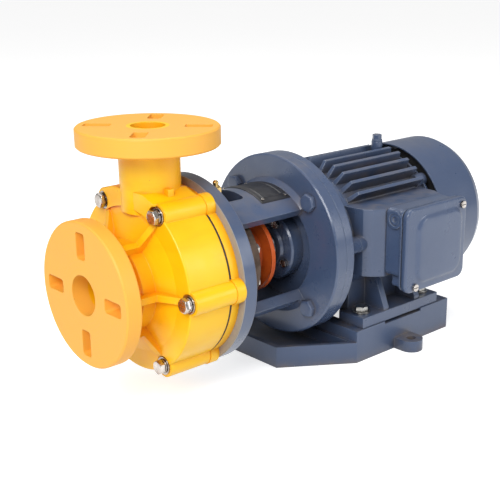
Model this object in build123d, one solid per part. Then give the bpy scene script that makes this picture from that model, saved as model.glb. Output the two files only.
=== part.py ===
# Close-coupled centrifugal pump: moulded yellow pump end, cast lantern, foot-and-flange motor, base plate.
# Every piece is drawn about the shaft line: X runs from the suction face to the fan cowl, +Z is up,
# and the terminal box is on the -Y side. put_down() then sets the pieces on the mounting plane,
# so that the origin lies on it, midway between the two lug holes of the base.
from build123d import *
from math import cos, radians, sin
import os

# Main places along the shaft, from the suction face
LUG_LINE_X = 360.0
SHAFT_HEIGHT = 127.0
DISCHARGE_X = 81.65
SEAM_X = 106.0
BRACKET_FACE_X = 116.6
BRACKET_DISC_T = 15.8
LANTERN_REAR_X = 239.6
MOTOR_FACE_X = 253.6
MOTOR_FLANGE_T = 12.0

# Pump flanges and casing
SUCTION_R = 71.5
SUCTION_T = 17.0
SUCTION_BORE_R = 19.8
DISCHARGE_R = 68.75
DISCHARGE_T = 18.8
DISCHARGE_TOP_Z = 151.0
DISCHARGE_BORE_R = 16.6
NECK_R = 29.5
SLOT_PITCH_R = 48.3
SLOT_W = 14.0
SLOT_L = 26.0
SLOT_CORNER_R = 3.0
DRUM_R = 89.0
HUB_R = 45.5
PAD_X0 = 54.0
PAD_INNER_R = 76.0
PAD_TOP_Z = 92.5
FRONT_WALL_X = 57.0
GASKET_LAND_R = 81.0
CHAMBER_R = 71.0
CHAMBER_X0 = 62.0
CHAMBER_X1 = 98.6
VOLUTE_SHIFT = 4.0
GASKET_T = 2.4

# Six long bolts that clamp casing and cover to the bracket
BOLT_CIRCLE_R = 86.5
BOLT_ANGLES = [30 + 60 * k for k in range(6)]
BOSS_R = 12.0
BOSS_X = 58.0
BOSS_SPOT_R = 9.7
M8_R = 4.0
M8_CLEAR_R = 4.5
M8_FLATS = 13.0
M8_HEAD = 5.3
WASHER_R = 9.0
WASHER_T = 1.6
SPRING_WASHER_R = 7.2
SPRING_WASHER_T = 2.0
RIB_T = 7.0
RIB_R = 53.5
RIB_BEND_X = 45.5

# Bracket with its lantern
BRACKET_R = 97.0
LANTERN_R = 70.0
LANTERN_BORE_R = 58.0
LANTERN_DISC_R = 100.0
WINDOW_EDGE_ANGLE = 45.0
TOP_WINDOW_X0 = 140.0
TOP_WINDOW_X1 = 182.0
TOP_WINDOW_ANGLE = 18.5
SPIGOT_R = 65.0
SPIGOT_T = 3.5
FLANGE_BOLT_R = 82.5
FLANGE_BOLT_ANGLES = [45, 135, 225, 315]
M10_R = 5.0
M10_FLATS = 16.0
M10_HEAD = 6.4
FLANGE_SPOT_R = 10.4
NIPPLE_Y = -29.6
NIPPLE_Z = 84.0

# Shaft seal and its gland
COVER_HUB_R = 52.0
COVER_HUB_X = 166.0
GLAND_R = 54.5
GLAND_T = 9.0
GLAND_BOLT_R = 46.0
GLAND_BOLT_ANGLES = [22.5 + 45 * k for k in range(8)]
SEAL_BORE_R = 30.0
SLEEVE_R = 15.0

# Rotating line
IMPELLER_R = 62.0
EYE_R = 20.5
NOSE_R = 10.0
MOTOR_SHAFT_R = 12.0
MOTOR_SHAFT_X = 178.0
CLAMP_HUB_R = 19.0
CLAMP_HUB_X0 = 184.0
CLAMP_HUB_X1 = 228.0
SLINGER_R = 43.0
SLINGER_X = 206.0
VANE_COUNT = 6

# Motor
FRAME_R = 72.0
FRAME_BORE_R = 62.0
FRAME_X0 = 288.0
FRAME_X1 = 424.0
FIN_R = 86.0
FIN_ROOT_HALF_T = 2.8
FIN_TIP_HALF_T = 1.9
FIN_ANGLES = [8, 18, 28, 38, 48, -8, -18, -28, -38, -48, -58, -68, -78, -88, -98, -108, 164, 172, 180, 188, 196]
FIN_X0 = 299.0
FIN_X1 = 419.0
FIN_SLANT = 9.0
COWL_R = 85.4
COWL_X0 = 429.5
COWL_X1 = 515.0
COWL_T = 1.6
BEARING_R = 26.0
BEARING_BORE_R = 12.5
BEARING_W = 15.0
FRONT_BEARING_X = 257.0
REAR_BEARING_X = 422.0
SHIELD_BOLT_R = 80.0
SHIELD_BOLT_ANGLES = [85, 150, 210, 275]
REAR_SCREW_R = 72.0
REAR_SCREW_ANGLES = [45, 135, 225, 315]
COWL_LUG_ANGLES = [90, 210, 330]
COWL_SCREW_X = 437.0
CAP_SCREW_R = 30.0
CAP_SCREW_ANGLES = [27, 117, 207, 297]
FOOT_HOLE_Y = 70.0
FOOT_HOLES_X = [MOTOR_FACE_X + 56.0, MOTOR_FACE_X + 156.0]
FOOT_Z = -90.0
FOOT_T = 12.0
LIFT_BOLT_X = 407.0

# Terminal box on the near side
BOX_X0 = 309.5
BOX_X1 = 408.0
BOX_Z0 = -41.0
BOX_Z1 = 50.0
BOX_BACK_Y = -101.0
BOX_Y = -125.0
BOX_RIM_T = 2.5
BOX_WALL = 4.0
LID_T = 7.0
LID_SCREWS = [(BOX_X0 + 14.5, BOX_Z0 + 4.5), (BOX_X1 - 7.0, BOX_Z1 - 8.0)]
ENTRY_Y = -114.0
ENTRY_Z = 37.5
ENTRY_R = 10.0
ENTRY_PLUG_R = 6.5
PANEL_T = 3.0

# Base plate
BASE_Z0 = -SHAFT_HEIGHT
BASE_FRONT_X = 211.0
BASE_STEP_X = 284.0
BASE_REAR_X = 442.0
BASE_HALF_W = 88.5
BASE_NOSE_HALF_W = 37.0
TRAY_H = 24.0
TRAY_DEPTH = 13.0
TRAY_FLOOR_T = 5.0
TRAY_RIM_T = 6.0
LUG_Y = 102.0
LUG_R = 13.5
LUG_T = 13.0
LUG_HOLE_R = 5.5


def rod(x0, x1, r, y=0.0, z=0.0):
    """A round bar along the shaft direction, from x0 to x1."""
    return Pos((x0 + x1) / 2, y, z) * Rot(0, 90, 0) * Cylinder(r, abs(x1 - x0))


def upright(x, y, z0, z1, r):
    """A round bar that stands up, from z0 to z1."""
    return Pos(x, y, (z0 + z1) / 2) * Cylinder(r, z1 - z0)


def block(x0, x1, y0, y1, z0, z1):
    """A rectangular block between two corners."""
    return Pos((x0 + x1) / 2, (y0 + y1) / 2, (z0 + z1) / 2) * Box(x1 - x0, y1 - y0, z1 - z0)


def turned(*profile):
    """A turned shape: the closed outline of (x, radius) points, spun about the shaft line."""
    outline = make_face(Polyline(*[(x, 0, r) for x, r in profile], close=True))
    return revolve(outline, Axis.X, 360)


def ring(x0, x1, outer, inner):
    """A plain ring about the shaft line."""
    return turned((x0, inner), (x0, outer), (x1, outer), (x1, inner))


def hex_rod(x0, x1, flats, y=0.0, z=0.0):
    """A hexagon bar along the shaft direction, with its front edge eased."""
    corner_r = flats / 2 / cos(radians(30))
    bar = extrude(RegularPolygon(corner_r, 6), x1 - x0)
    cone = Pos(0, 0, -0.01) * Cone(corner_r * 0.9, corner_r * 0.9 + (x1 - x0) * 1.7, x1 - x0 + 0.02,
                                   align=(Align.CENTER, Align.CENTER, Align.MIN))
    return Pos(x0, y, z) * Rot(0, 90, 0) * (bar & cone)


def around(shape, angles):
    """Copies of a shape turned about the shaft line, angles from the top towards the near side."""
    return [Rot(a, 0, 0) * shape for a in angles]


def group(shapes):
    """Separate solids that share one node."""
    solids = []
    for shape in shapes:
        solids.extend(shape.solids())
    return Compound(children=solids)


def fused(base, additions):
    """One solid from a base and what is cast or moulded onto it."""
    return base + list(additions)


def cut(base, tools):
    """A solid with each tool's space taken out of it."""
    return base - list(tools)


def wedge_between(x0, x1, radius, angle_a, angle_b):
    """A pie-slice prism about the shaft line between two angles, for cutting windows."""
    reach = radius
    pts = [(x0, 0, 0)]
    steps = 4
    for k in range(steps + 1):
        a = radians(angle_a + (angle_b - angle_a) * k / steps)
        pts.append((x0, -reach * sin(a), reach * cos(a)))
    return extrude(make_face(Polyline(*pts, close=True)), amount=x1 - x0, dir=(1, 0, 0))


def flange_slot(depth):
    """One near-rectangular bolt slot, its long side along local X, cut along local Z."""
    return extrude(RectangleRounded(SLOT_L, SLOT_W, SLOT_CORNER_R), depth, both=True)


# Pump end

def gusset(angle):
    """A triangular rib from the back of the suction flange out to one bolt boss."""
    boss_edge = BOLT_CIRCLE_R - 9
    outline = [(SUCTION_T - 1, 20), (SUCTION_T - 1, RIB_R), (RIB_BEND_X, RIB_R), (BOSS_X - 1, boss_edge),
               (BOSS_X + 10, boss_edge), (BOSS_X + 10, 20)]
    plate = make_face(Polyline(*[(x, 0, r) for x, r in outline], close=True))
    return Rot(angle, 0, 0) * extrude(plate, RIB_T / 2, both=True)


def neck_pad():
    """Flat-topped pad under the discharge neck, from one upper boss to the other."""
    half = [(34, 60), (43.2, 75), (43.2, 86.5), (25, PAD_TOP_Z)]
    outline = [(-y, z) for y, z in half] + [(y, z) for y, z in reversed(half)]
    plate = make_face(Polyline(*[(PAD_X0, y, z) for y, z in outline], close=True))
    pad = extrude(plate, amount=SEAM_X - GASKET_T / 2 - PAD_X0, dir=(1, 0, 0))
    return pad - rod(PAD_X0 - 1, FRONT_WALL_X + 1, PAD_INNER_R)


def pump_casing():
    """Moulded casing: suction flange and neck, domed front, drum, six bosses, discharge branch."""
    shell = turned((0, 0), (0, SUCTION_R - 1.5), (1.5, SUCTION_R), (SUCTION_T - 1.5, SUCTION_R),
                   (SUCTION_T, SUCTION_R - 1.5), (SUCTION_T, NECK_R), (27, NECK_R), (36, HUB_R), (50, HUB_R),
                   (52.5, 52), (55, 61), (FRONT_WALL_X, 69), (FRONT_WALL_X, DRUM_R - 1), (BOSS_X, DRUM_R),
                   (SEAM_X - GASKET_T / 2, DRUM_R), (SEAM_X - GASKET_T / 2, 0))
    boss = rod(BOSS_X, SEAM_X, BOSS_R, 0, BOLT_CIRCLE_R)
    webs = block(DISCHARGE_X - 6, DISCHARGE_X + 1, -36, 36, 78, PAD_TOP_Z + 3)
    neck = upright(DISCHARGE_X, 0, 70, DISCHARGE_TOP_Z - 1, NECK_R)
    top_flange = upright(DISCHARGE_X, 0, DISCHARGE_TOP_Z - DISCHARGE_T, DISCHARGE_TOP_Z, DISCHARGE_R)
    top_flange = chamfer(top_flange.edges().filter_by(GeomType.CIRCLE), 1.5)
    body = fused(shell, [gusset(a) for a in BOLT_ANGLES])
    body = fused(body, around(boss, BOLT_ANGLES))
    body = fused(body, [neck_pad(), webs, neck, top_flange])
    cover_room = rod(SEAM_X, SEAM_X + 20, DRUM_R + 1.5)
    chamber = rod(CHAMBER_X0, CHAMBER_X1, CHAMBER_R) + rod(CHAMBER_X0, CHAMBER_X1, CHAMBER_R, 0, VOLUTE_SHIFT)
    tools = [cover_room, chamber, rod(-1, CHAMBER_X0 + 1, SUCTION_BORE_R),
             rod(CHAMBER_X0 - 10, CHAMBER_X0 + 1, EYE_R + 4.2),
             rod(CHAMBER_X1 - 1, SEAM_X + 1, CHAMBER_R + 4),
             upright(DISCHARGE_X, 0, 40, DISCHARGE_TOP_Z + 1, DISCHARGE_BORE_R)]
    tools.append(ring(SEAM_X - GASKET_T / 2, SEAM_X + 1, GASKET_LAND_R, 40))
    tools.append(block(SEAM_X - GASKET_T / 2, SEAM_X + 1, -20, 20, 70, DRUM_R + 0.2))
    tools += around(rod(BOSS_X - 1, SEAM_X + 1, M8_CLEAR_R, 0, BOLT_CIRCLE_R), BOLT_ANGLES)
    tools += around(rod(BOSS_X - 14, BOSS_X, BOSS_SPOT_R, 0, BOLT_CIRCLE_R), BOLT_ANGLES)
    slot = Pos(SUCTION_T / 2, 0, SLOT_PITCH_R) * Rot(0, 90, 0) * flange_slot(SUCTION_T)
    tools += around(slot, [0, 90, 180, 270])
    for a in (45, 135, 225, 315):
        tools.append(Pos(DISCHARGE_X, 0, DISCHARGE_TOP_Z) * Rot(0, 0, a) * Pos(SLOT_PITCH_R, 0, 0)
                     * flange_slot(DISCHARGE_T + 2))
    return cut(body, tools)


def back_cover():
    """Rear cover with spigot, six ears and the seal chamber hub that passes through the bracket."""
    body = turned((CHAMBER_X1, 17), (CHAMBER_X1, CHAMBER_R + 3.9), (SEAM_X + GASKET_T / 2, CHAMBER_R + 3.9),
                  (SEAM_X + GASKET_T / 2, DRUM_R), (BRACKET_FACE_X, DRUM_R), (BRACKET_FACE_X, COVER_HUB_R),
                  (COVER_HUB_X, COVER_HUB_R), (COVER_HUB_X, SEAL_BORE_R), (112, SEAL_BORE_R), (112, 17))
    ear = rod(SEAM_X, BRACKET_FACE_X, BOSS_R + 0.8, 0, BOLT_CIRCLE_R)
    body = fused(body, around(ear, BOLT_ANGLES))
    tools = around(rod(SEAM_X - 1, BRACKET_FACE_X + 1, M8_CLEAR_R, 0, BOLT_CIRCLE_R), BOLT_ANGLES)
    tools.append(ring(SEAM_X - 1, SEAM_X + GASKET_T / 2, GASKET_LAND_R, CHAMBER_R + 3.9))
    tools += around(rod(COVER_HUB_X - 14, COVER_HUB_X + 1, 3.0, 0, GLAND_BOLT_R), GLAND_BOLT_ANGLES)
    return cut(body, tools)


def casing_gasket():
    """Thin black joint ring between casing and cover, cut back round the bolt bosses."""
    sheet = ring(SEAM_X - GASKET_T / 2, SEAM_X + GASKET_T / 2, DRUM_R - 0.4, CHAMBER_R + 4.2)
    inner = ring(SEAM_X - GASKET_T / 2, SEAM_X + GASKET_T / 2, GASKET_LAND_R - 0.2, CHAMBER_R + 4.2)
    return cut(sheet, around(rod(SEAM_X - 3, SEAM_X + 3, BOSS_R + 1.2, 0, BOLT_CIRCLE_R), BOLT_ANGLES)) + inner


def casing_bolts():
    """Six long hexagon bolts."""
    head_x = BOSS_X - WASHER_T - SPRING_WASHER_T
    bolt = hex_rod(head_x - M8_HEAD, head_x, M8_FLATS, 0, BOLT_CIRCLE_R)
    bolt = bolt + rod(head_x, BRACKET_FACE_X + 12, M8_R, 0, BOLT_CIRCLE_R)
    return group(around(bolt, BOLT_ANGLES))


def casing_washers():
    """Flat washer under each spring washer."""
    washer = rod(BOSS_X - WASHER_T, BOSS_X, WASHER_R, 0, BOLT_CIRCLE_R)
    washer = washer - rod(BOSS_X - 3, BOSS_X + 1, M8_R + 0.25, 0, BOLT_CIRCLE_R)
    return group(around(washer, BOLT_ANGLES))


def casing_spring_washers():
    """Split spring washer under each bolt head."""
    x1 = BOSS_X - WASHER_T
    washer = rod(x1 - SPRING_WASHER_T, x1, SPRING_WASHER_R, 0, BOLT_CIRCLE_R)
    washer = washer - rod(x1 - 5, x1 + 1, M8_R + 0.25, 0, BOLT_CIRCLE_R)
    gap = block(x1 - 5, x1 + 1, -0.6, 0.6, BOLT_CIRCLE_R + 3, BOLT_CIRCLE_R + 12)
    return group(around(washer - gap, BOLT_ANGLES))


def bracket():
    """Cast bracket: front disc, windowed lantern and rear disc in one piece."""
    disc_x1 = BRACKET_FACE_X + BRACKET_DISC_T
    body = turned((BRACKET_FACE_X, COVER_HUB_R + 0.3), (BRACKET_FACE_X, BRACKET_R), (disc_x1 - 1, BRACKET_R),
                  (disc_x1, BRACKET_R - 1), (disc_x1, LANTERN_R + 4), (disc_x1 + 4, LANTERN_R),
                  (LANTERN_REAR_X - 5, LANTERN_R), (LANTERN_REAR_X, LANTERN_R + 5),
                  (LANTERN_REAR_X, LANTERN_DISC_R - 1.5), (LANTERN_REAR_X + 1.5, LANTERN_DISC_R),
                  (MOTOR_FACE_X, LANTERN_DISC_R), (MOTOR_FACE_X, SPIGOT_R + 0.05),
                  (MOTOR_FACE_X - SPIGOT_T - 0.3, SPIGOT_R + 0.05), (MOTOR_FACE_X - SPIGOT_T - 0.3, LANTERN_BORE_R),
                  (disc_x1, LANTERN_BORE_R), (disc_x1, COVER_HUB_R + 0.3))
    half = WINDOW_EDGE_ANGLE
    tools = [wedge_between(disc_x1, LANTERN_REAR_X, 120, half, 180 - half),
             wedge_between(disc_x1, LANTERN_REAR_X, 120, 180 + half, 360 - half)]
    half_w = LANTERN_R * sin(radians(TOP_WINDOW_ANGLE))
    top = Pos((TOP_WINDOW_X0 + TOP_WINDOW_X1) / 2, 0, 0) * extrude(
        RectangleRounded(TOP_WINDOW_X1 - TOP_WINDOW_X0, 2 * half_w, 5), 90)
    tools.append(top)
    tools += around(rod(BRACKET_FACE_X - 1, disc_x1 + 1, M8_R + 0.05, 0, BOLT_CIRCLE_R), BOLT_ANGLES)
    tools += around(rod(LANTERN_REAR_X - 8, LANTERN_REAR_X, FLANGE_SPOT_R, 0, FLANGE_BOLT_R), FLANGE_BOLT_ANGLES)
    tools += around(rod(LANTERN_REAR_X - 1, MOTOR_FACE_X + 1, M10_R + 0.5, 0, FLANGE_BOLT_R), FLANGE_BOLT_ANGLES)
    return cut(body, tools)


def flush_nipple():
    """Brass flushing nipple: a hexagon elbow on the back of the front disc, its capped end upright."""
    x0 = BRACKET_FACE_X + BRACKET_DISC_T
    elbow = hex_rod(x0, x0 + 9.5, 8, NIPPLE_Y, NIPPLE_Z)
    stem = upright(x0 + 5.5, NIPPLE_Y, NIPPLE_Z, NIPPLE_Z + 7, 2.6)
    cap = Pos(x0 + 5.5, NIPPLE_Y, NIPPLE_Z + 7) * Sphere(3.0)
    return elbow + stem + cap


def name_plate():
    """Blank sheet metal plate, rolled to the lantern's crest."""
    shell = ring(194, 234, LANTERN_R + 0.8, LANTERN_R)
    return shell & wedge_between(190, 238, 120, -30, 30)


def name_plate_rivets():
    """Four small drive rivets at the plate's corners."""
    rivets = []
    for x in (198, 230):
        for a in (-26, 26):
            pin = upright(x, 0, LANTERN_R + 0.8, LANTERN_R + 2.0, 1.8)
            rivets.append(Rot(a, 0, 0) * pin)
    return group(rivets)


# Shaft seal

def seal_gland():
    """Stainless gland plate that holds the stationary seal seat."""
    plate = turned((COVER_HUB_X, 19.0), (COVER_HUB_X, GLAND_R), (COVER_HUB_X + GLAND_T - 1, GLAND_R),
                   (COVER_HUB_X + GLAND_T, GLAND_R - 1), (COVER_HUB_X + GLAND_T, 34),
                   (COVER_HUB_X + GLAND_T + 4, 32),
                   (COVER_HUB_X + GLAND_T + 4, 16.5), (COVER_HUB_X + 5, 16.5), (COVER_HUB_X + 5, 19.0))
    return cut(plate, around(rod(COVER_HUB_X - 1, COVER_HUB_X + GLAND_T + 1, 3.3, 0, GLAND_BOLT_R),
                             GLAND_BOLT_ANGLES))


def gland_bolts():
    """Eight hexagon screws that hold the gland."""
    x0 = COVER_HUB_X + GLAND_T
    head = Pos(x0, 0, 0) * Rot(0, 180, 0) * hex_rod(-4.5, 0, 10)
    screw = head + rod(x0 - GLAND_T - 12, x0, 3.0)
    return group(around(Pos(0, 0, GLAND_BOLT_R) * screw, GLAND_BOLT_ANGLES))


def seal_seat():
    """Stationary ceramic seat."""
    return turned((COVER_HUB_X - 7, 17), (COVER_HUB_X - 7, 24), (COVER_HUB_X - 0.5, 24), (COVER_HUB_X - 0.5, 19),
                  (COVER_HUB_X + 5, 19), (COVER_HUB_X + 5, 17))


def seal_seat_holder():
    """Rubber ring that seals the seat in the cover's chamber."""
    return ring(COVER_HUB_X - 6, COVER_HUB_X - 0.5, SEAL_BORE_R, 24)


def seal_rotating_ring():
    """Carbon face ring that turns with the shaft against the seat."""
    return turned((COVER_HUB_X - 18, SLEEVE_R), (COVER_HUB_X - 18, 23), (COVER_HUB_X - 9, 23),
                  (COVER_HUB_X - 7.1, 21.5), (COVER_HUB_X - 7.1, SLEEVE_R))


def seal_spring():
    """Closing spring of the seal, wound round the sleeve."""
    coils = []
    count = 6
    x0 = COVER_HUB_X - 42
    pitch = 24.0 / count
    for k in range(count):
        x = x0 + pitch * (k + 0.5)
        coils.append(ring(x - 1.1, x + 1.1, 21.0, 18.8))
    spine = [block(x0 + pitch * 0.5, x0 + pitch * (count - 0.5), -1.1, 1.1, 18.9, 20.9)]
    return fused(coils[0], coils[1:] + spine)


def seal_collar():
    """Drive collar that the spring bears on."""
    return turned((116, SLEEVE_R), (116, 24), (122, 24), (COVER_HUB_X - 42 + 0.5, 24),
                  (COVER_HUB_X - 42 + 0.5, SLEEVE_R))


# Rotating line

def vane():
    """One backward-curved blade: a strip of a circle between the eye and the rim."""
    centre = 31.3
    radius = 49.8
    strip = Pos(0, centre, 0) * (Circle(radius + 1.75) - Circle(radius - 1.75))
    band = Circle(IMPELLER_R) - Circle(EYE_R + 1)
    half = Pos(100, 0, 0) * Rectangle(200, 300)
    return extrude(strip & band & half, 19)


def impeller():
    """Closed impeller: rear shroud and hub, six curved vanes, front shroud with its eye ring."""
    rear = turned((92, NOSE_R), (92, IMPELLER_R), (96, IMPELLER_R), (96, 17), (97.8, 17), (97.8, NOSE_R))
    hub = turned((70, NOSE_R), (70, 13), (84, 16), (92, 30), (92, NOSE_R))
    front = turned((54, EYE_R), (54, EYE_R + 3.2), (68, EYE_R + 3.2), (72, IMPELLER_R), (75, IMPELLER_R),
                   (71, EYE_R + 5), (70, EYE_R))
    blades = [Pos(72.5, 0, 0) * Rot(a, 0, 0) * Rot(0, 90, 0) * vane() for a in range(0, 360, 360 // VANE_COUNT)]
    blades = [blade - turned((60, 0), (60, 40), (71.5, EYE_R + 4), (71.5, 0)) for blade in blades]
    return fused(rear + hub, blades + [front])


def impeller_nut():
    """Domed hexagon nut that clamps the impeller on the shaft nose."""
    nut = hex_rod(62, 70, 20) - rod(61, 71, 6.0)
    cap = Pos(62.5, 0, 0) * Rot(0, -90, 0) * Cone(8.5, 5.0, 6, align=(Align.CENTER, Align.CENTER, Align.MIN))
    return nut + cap


def pump_shaft():
    """Stub shaft: impeller nose, seal sleeve and the clamp hub that takes the motor's shaft end."""
    body = turned((62.5, 0), (62.5, 6.0), (70, 6.0), (70, NOSE_R), (97.8, NOSE_R), (97.8, SLEEVE_R),
                  (CLAMP_HUB_X0, SLEEVE_R), (CLAMP_HUB_X0 + 2, CLAMP_HUB_R), (CLAMP_HUB_X1 - 1, CLAMP_HUB_R),
                  (CLAMP_HUB_X1, CLAMP_HUB_R - 1), (CLAMP_HUB_X1, 0))
    tools = [rod(MOTOR_SHAFT_X - 2, CLAMP_HUB_X1 + 1, MOTOR_SHAFT_R)]
    tools.append(block(MOTOR_SHAFT_X - 2, CLAMP_HUB_X1 + 1, -4, 4, 0, MOTOR_SHAFT_R + 3.3))
    for a in (90, 210):
        tools.append(Rot(a, 0, 0) * upright(218, 0, 5, 25, 3.0))
    return cut(body, tools)


def set_screws():
    """Two socket screws that lock the clamp hub to the motor shaft."""
    screw = upright(218, 0, MOTOR_SHAFT_R, CLAMP_HUB_R + 0.8, 3.0)
    socket = upright(218, 0, CLAMP_HUB_R - 1.8, CLAMP_HUB_R + 2, 1.5)
    return group(around(screw - socket, [90, 210]))


def shaft_key():
    """Key between the stub shaft and the motor's shaft."""
    return block(186, 222, -4, 4, MOTOR_SHAFT_R - 4, MOTOR_SHAFT_R + 3.0)


def slinger_disc():
    """Orange deflector disc that throws leakage clear of the motor bearing."""
    return turned((SLINGER_X - 12, CLAMP_HUB_R), (SLINGER_X - 12, CLAMP_HUB_R + 6),
                  (SLINGER_X - 5, CLAMP_HUB_R + 8),
                  (SLINGER_X - 4, SLINGER_R - 3), (SLINGER_X - 6, SLINGER_R), (SLINGER_X - 0.8, SLINGER_R),
                  (SLINGER_X, SLINGER_R - 1), (SLINGER_X, CLAMP_HUB_R))


def motor_shaft():
    """Motor shaft with its bearing seats and fan end."""
    body = turned((MOTOR_SHAFT_X, 0), (MOTOR_SHAFT_X, MOTOR_SHAFT_R - 1), (MOTOR_SHAFT_X + 1, MOTOR_SHAFT_R),
                  (250, MOTOR_SHAFT_R), (250, BEARING_BORE_R), (275, BEARING_BORE_R), (275, 16), (300, 16),
                  (300, 17.5), (400, 17.5), (400, 16), (419, 16), (419, BEARING_BORE_R), (440, BEARING_BORE_R),
                  (440, 9.5), (477, 9.5), (478, 8.5), (478, 0))
    return body - block(186, 222, -4, 4, MOTOR_SHAFT_R - 4, MOTOR_SHAFT_R + 5)


def rotor_core():
    """Laminated rotor with its cast end rings."""
    return turned((296, 24), (296, 40), (306, 40), (306, 44.6), (394, 44.6), (394, 40), (404, 40), (404, 24),
                  (399, 24), (399, 17.5), (301, 17.5), (301, 24))


def cooling_fan():
    """Radial fan: hub, back plate and eight straight blades."""
    hub = ring(444, 470, 16, 9.5)
    plate = turned((447, 15), (447, 76), (449, 76), (451, 15))
    blade = block(448, 468, -1.2, 1.2, 14, 75)
    blade = blade - (Pos(468, 0, 14) * Rot(0, 25, 0) * block(0, 40, -5, 5, 0, 90))
    return fused(hub + plate, around(blade, [45 * k for k in range(8)]))


def bearing_inner(x0):
    """Inner ring of a shielded ball bearing."""
    return ring(x0, x0 + BEARING_W, 16.6, BEARING_BORE_R)


def bearing_outer(x0):
    """Outer ring of a shielded ball bearing with its two shields."""
    return turned((x0, BEARING_R), (x0 + BEARING_W, BEARING_R), (x0 + BEARING_W, 22), (x0 + BEARING_W - 1, 22),
                  (x0 + BEARING_W - 1, 17), (x0 + BEARING_W - 2, 17), (x0 + BEARING_W - 2, 22), (x0 + 2, 22),
                  (x0 + 2, 17), (x0 + 1, 17), (x0 + 1, 22), (x0, 22))


# Motor

def front_end_shield():
    """Front end shield with the mounting flange, spigot and four bolt ears."""
    rear = MOTOR_FACE_X + MOTOR_FLANGE_T
    body = turned((MOTOR_FACE_X - SPIGOT_T, 40), (MOTOR_FACE_X - SPIGOT_T, SPIGOT_R), (MOTOR_FACE_X, SPIGOT_R),
                  (MOTOR_FACE_X, LANTERN_DISC_R), (rear - 1.5, LANTERN_DISC_R), (rear, LANTERN_DISC_R - 1.5),
                  (rear, 76), (rear + 6, 74), (FRAME_X0 - 4, 74), (FRAME_X0, 74), (FRAME_X0, FRAME_BORE_R + 0.1),
                  (FRAME_X0 - 8, FRAME_BORE_R - 4), (rear + 4, 56), (rear + 4, 32), (FRONT_BEARING_X + 18, 32),
                  (FRONT_BEARING_X + 18, 18), (FRONT_BEARING_X + BEARING_W, 18),
                  (FRONT_BEARING_X + BEARING_W, BEARING_R), (FRONT_BEARING_X, BEARING_R), (FRONT_BEARING_X, 24),
                  (MOTOR_FACE_X - SPIGOT_T, 24))
    ear = rod(rear - 1, FRAME_X0, 9, 0, SHIELD_BOLT_R)
    body = fused(body, around(ear, SHIELD_BOLT_ANGLES))
    tools = around(rod(rear + 2, FRAME_X0 + 1, 3.3, 0, SHIELD_BOLT_R), SHIELD_BOLT_ANGLES)
    tools += around(rod(MOTOR_FACE_X - 1, rear + 1, M10_R + 1, 0, FLANGE_BOLT_R), FLANGE_BOLT_ANGLES)
    tools += around(rod(rear, rear + 9, 9.8, 0, FLANGE_BOLT_R), FLANGE_BOLT_ANGLES)
    tools += around(rod(MOTOR_FACE_X - SPIGOT_T - 1, MOTOR_FACE_X + 12, 2.5, 0, CAP_SCREW_R), CAP_SCREW_ANGLES)
    return cut(body, tools)


def bearing_cap():
    """Outer bearing cap on the front end shield."""
    x0 = 231.0
    x1 = MOTOR_FACE_X - SPIGOT_T
    body = turned((x0, 13.0), (x0, 22), (x0 + 3, 24), (x0 + 3, 36), (x0 + 5, 38), (x1, 38), (x1, 13.0))
    return cut(body, around(rod(x0 - 1, x1 + 1, 2.7, 0, CAP_SCREW_R), CAP_SCREW_ANGLES))


def bearing_cap_screws():
    """Four screws of the outer bearing cap."""
    x0 = 234.0
    screw = hex_rod(x0 - 4, x0, 8, 0, CAP_SCREW_R) + rod(x0, MOTOR_FACE_X + 6, 2.5, 0, CAP_SCREW_R)
    return group(around(screw, CAP_SCREW_ANGLES))


def fin():
    """One cooling fin on the crest, with a slanted front end and draft on its sides."""
    root = FRAME_R - 2
    side = [(FIN_X0, root), (FIN_X0 + FIN_SLANT, FIN_R), (FIN_X1 - 2, FIN_R), (FIN_X1, root)]
    plate = extrude(make_face(Polyline(*[(x, 0, r) for x, r in side], close=True)), 5, both=True)
    section = [(-FIN_ROOT_HALF_T, root), (-FIN_TIP_HALF_T, FIN_R), (FIN_TIP_HALF_T, FIN_R),
               (FIN_ROOT_HALF_T, root)]
    face = make_face(Polyline(*[(FIN_X0, y, z) for y, z in section], close=True))
    return plate & extrude(face, amount=FIN_X1 - FIN_X0, dir=(1, 0, 0))


def box_pad():
    """Smooth neck of the frame that carries the terminal box, swept out from the front band."""
    plan = [(290, -60), (291, -74), (294, -84), (300, -92.5), (311, BOX_BACK_Y), (405, BOX_BACK_Y),
            (414, -84), (415, -60)]
    face = make_face(Polyline(*[(x, y, -29) for x, y in plan], close=True))
    return extrude(face, amount=75, dir=(0, 0, 1))


def motor_foot(side):
    """One foot of the frame with its long web and two gussets, on the side given by its sign."""
    y0, y1 = sorted((side * 50, side * 87))
    web_y0, web_y1 = sorted((side * 42, side * 55))
    foot = block(FRAME_X0 + 7, FRAME_X1 - 1, y0, y1, FOOT_Z, FOOT_Z + FOOT_T)
    foot = foot + block(FRAME_X0 + 16, FRAME_X1 - 12, web_y0, web_y1, FOOT_Z, -40)
    outline = [(side * 40, FOOT_Z + 4), (side * 85, FOOT_Z + 4), (side * 85, FOOT_Z + 15), (side * 68, -34),
               (side * 40, -34)]
    for x in (335, 388):
        face = make_face(Polyline(*[(x, y, z) for y, z in outline], close=True))
        foot = foot + extrude(face, 4, both=True)
    return foot


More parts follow.
